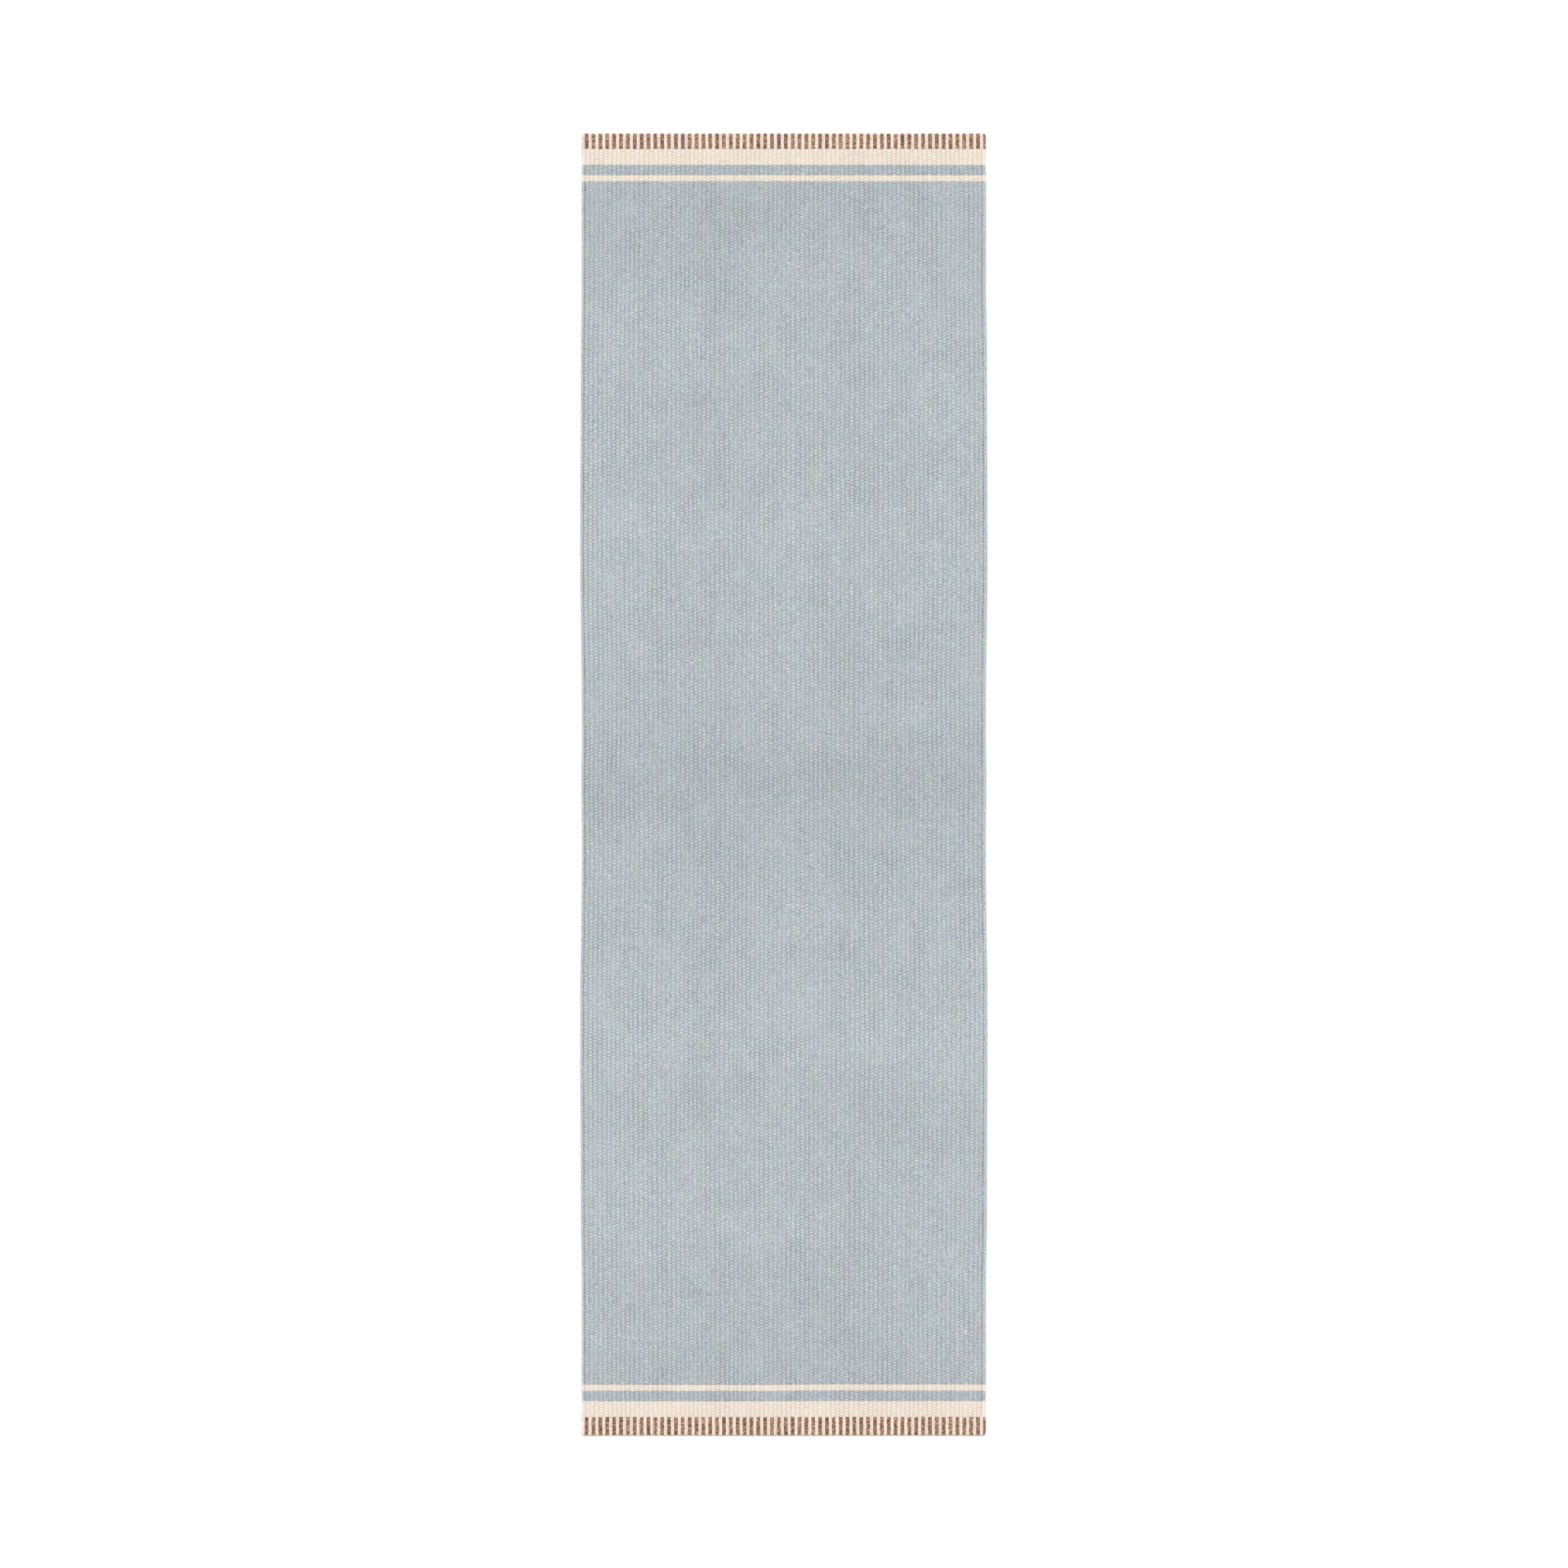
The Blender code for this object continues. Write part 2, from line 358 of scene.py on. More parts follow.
def band_limits():
    """The bands from foot to head, as (CAD node, low Y, high Y), meeting halfway across CAD gaps."""
    names = [f"{kind}_weft_foot" for kind in ("cream", "accent", "pinstripe")]
    names.append("field_weft")
    names += [f"{kind}_weft_head" for kind in ("pinstripe", "accent", "cream")]
    boxes = [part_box(name) for name in names]
    cuts = [boxes[0][0][1]]
    for lower, upper in zip(boxes, boxes[1:]):
        cuts.append((lower[1][1] + upper[0][1]) / 2)
    cuts.append(boxes[-1][1][1])
    return list(zip(names, cuts, cuts[1:]))


def bead_pitch(rng, y):
    """Beads are packed closer near the ends, and uneven beating makes the pitch come and go."""
    open_middle = smooth_step((PITCH_CHANGE_START - np.abs(y)) / PITCH_CHANGE_LENGTH)
    pitch = END_PITCH + (MIDDLE_PITCH - END_PITCH) * open_middle
    ripple = value_noise(rng, np.zeros_like(y), y, 1.0, PITCH_RIPPLE_LENGTH)
    return pitch * (1 + PITCH_RIPPLE * ripple * open_middle)


def band_rows(rng, low, high):
    """The Y of each mesh row in one band, which holds a whole number of beads."""
    y = np.linspace(low, high, PITCH_SAMPLES)
    step = y[1] - y[0]
    count = np.concatenate([[0], np.cumsum(step / bead_pitch(rng, y[:-1]))])
    beads = max(1, round(float(count[-1])))
    wanted = np.linspace(0, count[-1], beads * ROWS_PER_BEAD + 1)
    return np.interp(wanted, count, y)


class Rows:
    """All mesh rows from foot to head, and where each band starts and ends in them."""

    def __init__(self, rng):
        self.y = np.zeros(0)
        self.spans = {}
        self.seams = [0]
        for name, low, high in band_limits():
            rows = band_rows(rng, low, high)
            start = max(len(self.y) - 1, 0)
            self.y = np.concatenate([self.y[:start], rows])
            self.spans[name] = (start, len(self.y) - 1)
            self.seams.append(len(self.y) - 1)


def all_lines(rng):
    """Places of the mesh lines across the rug, from -1 at one edge to 1 at the other."""
    left, right = LOW[0] + GROOVE_INSETS[0], HIGH[0] - GROOVE_INSETS[1]
    widths = 1 + COLUMN_JITTER * bell(rng, COLUMNS)
    bounds = left + (right - left) * np.concatenate([[0], np.cumsum(widths)]) / widths.sum()
    inner = bounds[:-1, None] + np.diff(bounds)[:, None] * np.array(ACROSS)
    share = np.array([share for share, _, _ in SELVEDGE])
    left_side = LOW[0] + share * GROOVE_INSETS[0]
    right_side = HIGH[0] - share * GROOVE_INSETS[1]
    return np.concatenate([left_side, inner.ravel(), [right], right_side[::-1]]) / HIGH[0]


def bead_phase(rows, flipped):
    """Which of BEAD_SHAPE's rows each column is at. Every column has a valley where bands meet."""
    row = np.arange(len(rows.y))[:, None]
    for start, end in rows.spans.values():
        row[start : end + 1] = np.arange(end - start + 1)[:, None]
    stagger = (np.arange(COLUMNS)[None, :] + flipped) % 2
    phase = (row + 2 * stagger) % ROWS_PER_BEAD
    phase[rows.seams] = 0
    return phase


def bead_number(rows, column):
    """Which bead of its column each row belongs to, counted from the foot."""
    row = np.arange(len(rows.y))[:, None]
    return (row + 2 * (column % 2)) // ROWS_PER_BEAD


def weave_heights(rng, rows, jitter, flipped):
    """Heights from about 0 in the deepest crevice to 1 on a crown, at every row and line."""
    shape = np.array(BEAD_SHAPE)
    beads = shape[bead_phase(rows, flipped)]
    beads = beads * jitter[:, :, None]
    row = np.arange(len(rows.y))
    beads[:, :, 0] = shape[row % ROWS_PER_BEAD, 0][:, None]
    # The groove beside the selvedge lies at 0, lowest in relief and darkest in painted shade.
    beads[:, 0, 0] = 0
    beads[:, 0, 1] *= GROOVE_FLANK
    beads[:, -1, -1] *= GROOVE_FLANK
    heights = beads.reshape(len(rows.y), -1)
    heights = np.concatenate([heights, heights[:, :1]], axis=1)
    return heights + FIBRE_JITTER * bell(rng, heights.shape)


def tip_shift(rows, flipped):
    """Each bead's tips reach past the column's edge, between the two beads beside them."""
    crown = np.array(BEAD_SHAPE)[bead_phase(rows, flipped), 2]
    column_width = (HIGH[0] - LOW[0] - sum(GROOVE_INSETS)) / COLUMNS
    shift = np.zeros((len(rows.y), COLUMNS * LINES_PER_COLUMN + 1))
    shift[:, LINES_PER_COLUMN:-1:LINES_PER_COLUMN] = crown[:, :-1] - crown[:, 1:]
    return TIP_REACH * column_width * shift


def selvedge_heights(rows):
    """Heights of the left selvedge's lines, with each pick of weft showing a little."""
    heights = np.array([height for _, height, _ in SELVEDGE])
    pick = np.where(np.arange(len(rows.y)) % 2 == 0, SELVEDGE_RIPPLE, -SELVEDGE_RIPPLE)
    return heights[None, :] + pick[:, None] * np.array([0, 1, 1, 1])


def widened(rows, left, middle):
    """A table of the woven lines with a selvedge's values added on both sides."""
    left = np.broadcast_to(left, (len(rows.y), len(SELVEDGE)))
    return np.concatenate([left, middle, left[:, ::-1]], axis=1)


def weave_plan(rng, rows):
    """Where each row and line lies in plan, and how strongly the beads stand out there."""
    lines = all_lines(rng)
    y = np.repeat(rows.y[:, None], len(lines), axis=1)
    x = lines[None, :] * (HIGH[0] + edge_swell(rows.y))[:, None]
    inside = np.abs(lines)[None, :] < 1 - min(GROOVE_INSETS) / HIGH[0]
    clear_of_end = smooth_step((HIGH[1] - np.abs(y)) / PICKS_STRAIGHTEN)
    for amount, cell_x, cell_y in WARP_WANDER:
        x = x + inside * amount * value_noise(rng, x, y, cell_x, cell_y)
    for amount, cell_x, cell_y in PICK_WANDER:
        y = y + clear_of_end * amount * value_noise(rng, x, y, cell_x, cell_y)
    relief = RELIEF
    for amount, cell_x, cell_y in RELIEF_CHANGES:
        relief = relief + amount * value_noise(rng, x, y, cell_x, cell_y)
    return x, y, np.clip(relief, *RELIEF_LIMITS)


def weave_points(rng, rows):
    """The top's and the underside's points, each with its crevice values, which set the painted
    crevice shade.
    """
    x, y, relief = weave_plan(rng, rows)
    relief = relief[:, len(SELVEDGE) : -len(SELVEDGE)]
    numbers = bead_number(rows, np.arange(COLUMNS)[None, :])
    jitter = np.clip(rng.normal(1, BEAD_JITTER, (numbers.max() + 1, COLUMNS)), *BEAD_JITTER_LIMITS)
    jitter = jitter[numbers, np.arange(COLUMNS)[None, :]]
    # Each selvedge line's crevice value, which sets how much painted shade it gets
    crevice_edge = np.array([value for _, _, value in SELVEDGE])
    middle = MIDDLE + lift(x, y)
    sides = []
    for flipped, sign in ((0, 1), (1, -1)):
        heights = MEAN_HEIGHT + (weave_heights(rng, rows, jitter, flipped) - MEAN_HEIGHT) * relief
        if flipped:
            heights = np.minimum(heights, 1)
        z = CREVICE_HEIGHT + (CROWN_HEIGHT - CREVICE_HEIGHT) * heights
        z = widened(rows, selvedge_heights(rows) * CROWN_HEIGHT, z)
        shift = widened(rows, 0.0, tip_shift(rows, flipped))
        points = np.stack([x + shift, y, middle + sign * z], axis=-1)
        # The heights also set the painted crevice shade: the lower a point lies, the darker its colour
        # is painted.
        sides.append((points, widened(rows, crevice_edge, heights)))
    return sides


def grid_normals(points, other, sign):
    """Unit normals of one face of the cloth, which turns over into the other at its side edges."""
    wide = np.concatenate([other[:, :1], points, other[:, -1:]], axis=1)
    across = wide[:, 2:] - wide[:, :-2]
    tall = np.concatenate([points[:1], points, points[-1:]], axis=0)
    along = tall[2:] - tall[:-2]
    normals = sign * np.cross(across, along)
    return normals / np.linalg.norm(normals, axis=-1, keepdims=True)


def cell_columns(line_count):
    """The weave column of each strip of faces between two lines, with -1 for a selvedge strip."""
    columns = np.full(line_count - 1, -1)
    first = len(SELVEDGE)
    for strip in range(COLUMNS * LINES_PER_COLUMN):
        columns[first + strip] = strip // LINES_PER_COLUMN
    return columns


def closed_faces(mask, top, under):
    """The faces of the part of the cloth under mask, which has one cell for each two rows.

    top and under number the points. The underside has only every second row of points, which
    saves a quarter of the faces.
    """
    k, j = np.nonzero(mask)
    i = 2 * k
    lower = np.stack([top[i, j], top[i, j + 1], top[i + 1, j + 1], top[i + 1, j]], 1)
    upper = np.stack([top[i + 1, j], top[i + 1, j + 1], top[i + 2, j + 1], top[i + 2, j]], 1)
    below = np.stack([under[k, j], under[k + 1, j], under[k + 1, j + 1], under[k, j + 1]], 1)
    quads = [lower, upper, below]
    walls = []
    padded = np.pad(mask, 1)
    for step, order in ((-1, 1), (1, -1)):
        open_k, open_j = np.nonzero(mask & ~padded[1 + step : 1 + step + mask.shape[0], 1:-1])
        at = open_k + (step > 0)
        wall = [top[2 * at, open_j + 1], top[2 * at, open_j], under[at, open_j], under[at, open_j + 1]]
        walls.append(np.stack(wall[::order], 1))
        open_k, open_j = np.nonzero(mask & ~padded[1:-1, 1 + step : 1 + step + mask.shape[1]])
        at = open_j + (step > 0)
        wall = [top[2 * open_k + s, at] for s in (0, 1, 2)]
        wall += [under[open_k + 1, at], under[open_k, at]]
        walls.append(np.stack(wall[::order], 1))
    return quads, walls


def piece_masks(rows, columns):
    """Which two-row cells each woven piece owns. The field is divided along beads, not across."""
    cells = np.arange((len(rows.y) - 1) // 2)[:, None]
    masks = {}
    for name, (start, end) in rows.spans.items():
        whole = (cells >= start // 2) & (cells < end // 2) & np.ones(len(columns), bool)[None, :]
        if name != "field_weft":
            masks[name] = whole
            continue
        beads = (end - start) // ROWS_PER_BEAD
        ends = [round(beads * number / FIELD_LENGTHS) for number in range(FIELD_LENGTHS + 1)]
        cuts = [start + ROWS_PER_BEAD * bead for bead in ends]
        stagger = np.where(columns >= 0, columns % 2, 0)[None, :]
        for number, (low, high) in enumerate(zip(cuts, cuts[1:])):
            low_cell = low // 2 + (stagger if number else 0)
            high_cell = high // 2 + (stagger if number < FIELD_LENGTHS - 1 else 0)
            masks[f"field_weave_{number + 1}"] = (cells >= low_cell) & (cells < high_cell)
    return masks


def face_tones(columns, mask, tones):
    """Each face's tone, in the order of closed_faces' quads. A selvedge has no beads."""
    k, j = np.nonzero(mask)
    column = columns[j]
    values = []
    for row in (2 * k, 2 * k + 1):
        number = (row + 2 * (column % 2)) // ROWS_PER_BEAD
        values.append(np.where(column < 0, 1.0, tones[number, column]))
    return np.concatenate(values + values[:1])


def bead_tones(rng, rows):
    """How light each bead is, with 1 for the plain colour of its yarn."""
    y = np.append(rows.y[::ROWS_PER_BEAD], (HIGH[1], HIGH[1]))[:, None]
    x = np.linspace(LOW[0] + GROOVE_INSETS[0], HIGH[0] - GROOVE_INSETS[1], COLUMNS)[None, :]
    half, along = np.broadcast_arrays(np.sign(x), y)
    wander = STREAK_WANDER * value_noise(rng, half, along, 1.0, STREAK_WANDER_LENGTH)
    depth = 1 + STREAK_CHANGE * value_noise(rng, half, along, 1.0, STREAK_CHANGE_LENGTH)
    streak = depth * np.exp(-(((np.abs(x) - STREAK_X - wander) / STREAK_REACH) ** 2))
    clear_of_middle = smooth_step((np.abs(y) - STREAK_START) / STREAK_START)
    side = smooth_step((np.abs(x) - SIDE_LIGHTNESS_START) / SIDE_LIGHTNESS_FADE)
    # How much lighter or darker the beads are at each distance from the middle of the rug
    length_tone = np.interp(np.abs(y), LENGTH_TONE_STATIONS, LENGTH_TONES)
    shade = length_tone - STREAK_DEPTH * streak * clear_of_middle + SIDE_LIGHTNESS * side
    return 1 + shade + BEAD_TONE * bell(rng, shade.shape, limit=2.5)


def yarn_slot(name):
    """The material of a woven piece or weft node. The pinstripe is woven with the cream yarn."""
    kind = name.split("_")[0]
    return ("cream" if kind == "pinstripe" else kind) + "_yarn"


def whole_cloth(rng, rows):
    """Both faces' points, normals and crevice values, and how the two faces' points are numbered."""
    (top_points, top_crevice), (under_points, under_crevice) = weave_points(rng, rows)
    top_normals = grid_normals(top_points, under_points, 1)
    under_normals = grid_normals(under_points, top_points, -1)[::2]
    under_points = under_points[::2]
    points = np.concatenate([top_points.reshape(-1, 3), under_points.reshape(-1, 3)])
    normals = np.concatenate([top_normals.reshape(-1, 3), under_normals.reshape(-1, 3)])
    crevice = np.concatenate([top_crevice.ravel(), under_crevice[::2].ravel()])
    top = np.arange(top_crevice.size).reshape(top_crevice.shape)
    under = top.size + np.arange(len(under_points) * top.shape[1]).reshape(-1, top.shape[1])
    return points, normals, crevice, top, under


def make_weave(rng, materials):
    """Every woven piece, by name, cut from one cloth so that neighbours share points and normals."""
    rows = Rows(rng)
    points, normals, crevice, top, under = whole_cloth(rng, rows)
    columns = cell_columns(top.shape[1])
    tones = bead_tones(rng, rows)
    pieces = {}
    for name, mask in piece_masks(rows, columns).items():
        quads, walls = closed_faces(mask, top, under)
        faces, used = renumbered(quads + walls)
        slot = yarn_slot(name)
        obj = add_mesh(name.replace("_weft_", "_weave_"), points[used], faces, materials[slot])
        set_normals(obj.data, normals[used], sum(len(group) for group in quads))
        wall_tones = np.ones(sum(len(wall) for wall in walls))
        all_tones = np.concatenate([face_tones(columns, mask, tones), wall_tones])
        add_attribute(obj, "tone", "FACE", all_tones)
        # The crevice values carry the painted crevice shade to the yarn materials.
        add_attribute(obj, "crevice", "POINT", crevice[used])
        finish_piece(obj, ["field_weft" if name.startswith("field") else name])
        pieces[obj.name] = obj
    return pieces


# ---------------------------------------------------------------- the overcast ends


def stitch_round(inner, outer, half_thickness):
    """One turn of a stitch round the hem, as distances along, (y, z) and the way out of the loop.

    It rises from inside the cloth at the needle line, goes over the top, round the edge, back
    underneath and up into the cloth. Each part is a count of points, a length, and how far along
    the rug and at what angle round the turn it starts and ends. travel is how far a point has
    moved on towards the next stitch, which happens underneath.
    """
    low = inner + NEEDLE_OFFSET + TURN_RADIUS - half_thickness
    high = outer - half_thickness - TURN_RADIUS
    run = high - low
    turn = math.pi * TURN_RADIUS
    quarter = math.pi / 2
    parts = (
        (4, turn / 2, low, low, 2 * quarter, quarter),
        (24, run, low, high, quarter, quarter),
        (9, turn, high, high, quarter, -quarter),
        (15, run, high, low, -quarter, -quarter),
        (4, turn / 2, low, low, -quarter, -2 * quarter),
    )
    s = []
    y = []
    angle = []
    total = 0
    for count, length, y_from, y_to, angle_from, angle_to in parts:
        t = np.linspace(0, 1, count)[:-1]
        s.append(total + length * t)
        y.append(y_from + (y_to - y_from) * t)
        angle.append(angle_from + (angle_to - angle_from) * t)
        total += length
    s, y, angle = [np.concatenate(values) for values in (s, y, angle)]
    out = np.stack([np.cos(angle), np.sin(angle)], 1)
    place = np.stack([y, np.full_like(y, MIDDLE)], 1) + TURN_RADIUS * out
    travel = smooth_step((s - 1.5 * turn - run) / run)
    return s, total, place, out, travel


def whipping_path(first_x, side, inner, outer, half_thickness):
    """The middle line of a whole yarn: places, ways out, distances and each point's stitch."""
    s, total, place, out, travel = stitch_round(inner, outer, half_thickness)
    pitch = 2 * (HIGH[0] - STITCH_MARGIN) / STITCH_PAIRS
    points = []
    outs = []
    distances = []
    stitches = []
    for index in range(STITCH_PAIRS):
        moves_on = index < STITCH_PAIRS - 1
        x = first_x + pitch * (index + travel * moves_on)
        points.append(np.stack([x, side * place[:, 0], place[:, 1]], 1))
        outs.append(np.stack([np.zeros_like(s), side * out[:, 0], out[:, 1]], 1))
        distances.append(index * total + s)
        stitches.append(np.full(len(s), index))
    return [np.concatenate(part) for part in (points, outs, distances, stitches)]


def squared(wave):
    """A round section's cosine or sine, pressed towards a rounded square."""
    return np.sign(wave) * np.abs(wave) ** PLY_SQUARENESS


def ply_rings(points, outs, angle, ply_side, style):
    """Rings of one ply that winds round the middle line, pressed against the cloth.

    Where the yarn turns over the rug's end, the plies lie side by side.
    """
    around = 2 * math.pi * np.arange(PLY_SIDES) / PLY_SIDES
    wide = squared(np.cos(around))
    high = squared(np.sin(around))
    turned = smooth_step((HIGH[1] - END_SETTLED - np.abs(points[:, 1])) / END_SETTLED)
    swing = style["swing"] * (np.sin(angle) * turned + END_LAP * ply_side * (1 - turned))
    spread = style["spread"] * (np.cos(angle) * turned + ply_side * (1 - turned))
    centre = points + spread[:, None] * ACROSS_RUG + swing[:, None] * outs
    ring = style["half_width"] * wide[None, :, None] * ACROSS_RUG
    ring = ring + style["half_height"] * high[None, :, None] * outs[:, None, :]
    height = swing[:, None] + style["half_height"] * high[None, :]
    return centre[:, None, :] + ring, height / (style["swing"] + style["half_height"])


def yarn_faces(ply_count, ring_count, side):
    """Faces of plies that are tubes of rings, turned so that they face out at either end."""
    i, j = np.meshgrid(np.arange(ring_count - 1), np.arange(PLY_SIDES), indexing="ij")
    i = i.ravel()
    j = j.ravel()
    k = (j + 1) % PLY_SIDES
    near = i * PLY_SIDES
    far = near + PLY_SIDES
    tube = np.stack([near + j, near + k, far + k, far + j], 1)
    first_cap = np.arange(PLY_SIDES)[::-1][None, :]
    last_cap = (ring_count - 1) * PLY_SIDES + np.arange(PLY_SIDES)[None, :]
    starts = ring_count * PLY_SIDES * np.arange(ply_count)
    faces = [start + tube for start in starts]
    for start in starts:
        faces += [start + first_cap, start + last_cap]
    return faces if side > 0 else [group[:, ::-1] for group in faces]


def flatten_end(points, side):
    """The outer end of every stitch is drawn flat against the edge of the hem."""
    past = side * points[:, 1] - (HIGH[1] - END_FLATNESS)
    points[:, 1] -= side * np.where(past > 0, past - END_FLATNESS * np.tanh(past / END_FLATNESS), 0)
    return points


def squeezed(x):
    """Draws in the right end of an overcast edge, where the last brown stitch is crowded."""
    return x - LAST_STITCH_SQUEEZE * np.maximum(x - (HIGH[0] - LAST_STITCH_ROOM), 0)


def round_corners(points, side):
    """Draws the outline in at the rug's rounded corners."""
    over = np.abs(points[:, 0]) - (HIGH[0] - CORNER_RADIUS)
    over = np.clip(over, 0, CORNER_LIMIT * CORNER_RADIUS)
    drop = CORNER_RADIUS - np.sqrt(CORNER_RADIUS**2 - over**2)
    reach = smooth_step((side * points[:, 1] - (HIGH[1] - CORNER_REACH)) / CORNER_FADE)
    points[:, 1] -= side * drop * reach
    return points


def wobbled(points, distances):
    """Lets the yarn wander a little to both sides of its line."""
    short, long = WOBBLE_LENGTHS
    wobble = WOBBLE * np.sin(distances / short + WOBBLE_DRIFT * np.sin(distances / long))
    return points + wobble[:, None] * ACROSS_RUG


def settled(points, side):
    """Fits a yarn's points to the rug's end, its corners and the lift of the cloth."""
    points = round_corners(flatten_end(points, side), side)
    points[:, 0] = squeezed(points[:, 0])
    points[:, 2] += lift(points[:, 0], points[:, 1])
    return points


def make_yarn(rng, name, side, first_x, box, style, material):
    """One overcasting yarn: every ply of every strand, all the way across the rug."""
    inner, outer = sorted(abs(corner[1]) for corner in box)
    thick = style["swing"] + style["half_height"]
    points, outs, distances, stitches = whipping_path(first_x, side, inner, outer, thick)
    stitch_tone = 1 + style["stitch_tone"] * bell(rng, STITCH_PAIRS)
    stitch_turn = style["loose"] * rng.uniform(0, 2 * math.pi, STITCH_PAIRS).cumsum()
    points = wobbled(points, distances)
    plies = []
    heights = []
    tones = []
    for strand, twist in zip((-STRAND_OFFSET, STRAND_OFFSET), style["twists"]):
        middle = points + strand * ACROSS_RUG
        for ply_side, ply_turn in ((-1, 0), (1, 0.5)):
            turns = twist * distances / style["lay"] + ply_turn
            turns = turns + strand / STRAND_PHASE_LENGTH
            angle = 2 * math.pi * turns + stitch_turn[stitches]
            rings, height = ply_rings(middle, outs, angle, ply_side, style)
            plies.append(rings.reshape(-1, 3))
            heights.append(height.ravel())
            tone = stitch_tone[stitches] + style["ply_tone"] * ply_side / 2
            tones.append(np.repeat(tone, PLY_SIDES))
    faces = yarn_faces(len(plies), len(points), side)
    obj = add_mesh(name, settled(np.concatenate(plies), side), faces, material)
    # Painted shade: the lower a point lies on its ply, below the style's threshold, the darker it is
    # coloured, as where one ply passes under another.
    lightness = (np.concatenate(heights) - style["painted_shade_below"]) / (1 - style["painted_shade_below"])
    add_attribute(obj, "crevice", "POINT", smooth_step(lightness))
    add_attribute(obj, "tone", "POINT", np.concatenate(tones))
    return obj


def make_stitches(rng, materials):
    """The cream and the brown yarn at both ends, by name."""
    pieces = {}
    for end, side in (("head", 1), ("foot", -1)):
        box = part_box(f"brown_whipping_{end}")
        for kind, first, style, material in (
            ("cream", FIRST_CREAM, CREAM_STYLE, "cream_whipping"),
            ("brown", FIRST_BROWN, BROWN_STYLE, "brown_yarn"),
        ):
            name = f"{kind}_stitches_{end}"
            obj = make_yarn(rng, name, side, LOW[0] + first, box, style, materials[material])
            finish_piece(obj, [f"{kind}_whipping_{end}"])
            pieces[name] = obj
    return pieces


def slab_faces(rows, columns):
    """The top, the underside and the rim of a slab between two grids of points."""
    number = np.arange(rows * columns).reshape(rows, columns)
    corners = [number[:-1, :-1], number[:-1, 1:], number[1:, 1:], number[1:, :-1]]
    top = np.stack([corner.ravel() for corner in corners], 1)
    under = top[:, ::-1] + number.size
    rim = np.concatenate([number[0, :-1], number[:-1, -1], number[-1, :0:-1], number[:0:-1, 0]])
    following = np.roll(rim, -1)
    walls = np.stack([following, rim, rim + number.size, following + number.size], 1)
    return [top, under, walls]


def make_hem(end, materials):
    """The turned end of the cloth inside the stitches: a thin slab with a rounded edge."""
    low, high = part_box(f"hem_fold_{end}")
    across = squeezed(np.linspace(low[0], high[0], HEM_LINES))
    along = np.linspace(low[1], high[1], HEM_ROWS)
    x, y = np.meshgrid(across, along)
    edge = np.minimum(y - low[1], high[1] - y) / HEM_ROUNDING
    thickness = HEM_RIM + HEM_BULGE * np.sqrt(1 - (1 - np.clip(edge, 0, 1)) ** 2)
    rib = 1 + HEM_RIB * np.sin(2 * math.pi * x / HEM_RIB_PITCH)
    level = MIDDLE + lift(x, y)
    grids = [np.stack([x, y, level + sign * thickness * rib], -1) for sign in (1, -1)]
    points = np.concatenate(grids).reshape(-1, 3)
    faces = slab_faces(HEM_ROWS, HEM_LINES)
    obj = add_mesh(f"hem_cloth_{end}", points, faces, materials["cream_yarn"])
    # An even crevice value over the whole hem gives it a light painted shade, as it lies inside the
    # stitches.
    for layer, value in (("crevice", HEM_CREVICE), ("tone", 1.0)):
        add_attribute(obj, layer, "POINT", np.full(len(points), value))
    finish_piece(obj, [f"hem_fold_{end}"])


# ---------------------------------------------------------------- materials


class Nodes:
    """A material's node tree, with short ways to add and join nodes."""

    def __init__(self, name):
        self.material = bpy.data.materials.new(name)
        self.material.use_nodes = True
        self.tree = self.material.node_tree
        self.shader = self.tree.nodes["Principled BSDF"]

    def add(self, kind, inputs=None, **settings):
        made = self.tree.nodes.new(kind)
        for key, value in settings.items():
            setattr(made, key, value)
        for key, value in (inputs or {}).items():
            if isinstance(value, bpy.types.NodeSocket):
                self.tree.links.new(value, made.inputs[key])
            else:
                made.inputs[key].default_value = value
        return made

    def math(self, operation, first, second):
        return self.add("ShaderNodeMath", {0: first, 1: second}, operation=operation).outputs[0]

    def attribute(self, name):
        return self.add("ShaderNodeAttribute", attribute_name=name).outputs["Fac"]

    def remap(self, value, low, high, from_low, from_high, smooth=False):
        inputs = {"Value": value, "From Min": from_low, "From Max": from_high}
        inputs.update({"To Min": low, "To Max": high})
        kind = "SMOOTHSTEP" if smooth else "LINEAR"
        return self.add("ShaderNodeMapRange", inputs, interpolation_type=kind).outputs["Result"]

    def mix(self, factor, first, second):
        """A colour mix. Its sockets go by number, because its float and vector ones share names."""
        made = self.add("ShaderNodeMix", {0: factor, 6: first, 7: second}, data_type="RGBA")
        return made.outputs[2]

    def noise(self, scale_xyz, detail=2.0, roughness=0.5, turn=0.0, shift=0.0):
        coordinates = self.add("ShaderNodeTexCoord").outputs["Object"]
        mapping = {"Vector": coordinates, "Scale": scale_xyz}
        mapping.update({"Rotation": (0, 0, turn), "Location": (shift, shift, shift)})
        vector = self.add("ShaderNodeMapping", mapping).outputs["Vector"]
        inputs = {"Vector": vector, "Scale": 1.0, "Detail": detail, "Roughness": roughness}
        return self.add("ShaderNodeTexNoise", inputs).outputs["Fac"]


# The scales of the materials' patterns along X, Y and Z, and the span that most of a noise's
# values fall in
DYE_SCALE = (2.0, 8.0, 1.0)
BLUE_SCALE = (24.0, 24.0, 1.0)
GREEN_SCALE = (30.0, 22.0, 1.0)
HAIR_SCALE = (420.0, 1500.0, 900.0)
HAIR_ANGLE = math.radians(28)
HAIR_RELIEF = 0.0004
NOISE_SPAN = (0.3, 0.7)
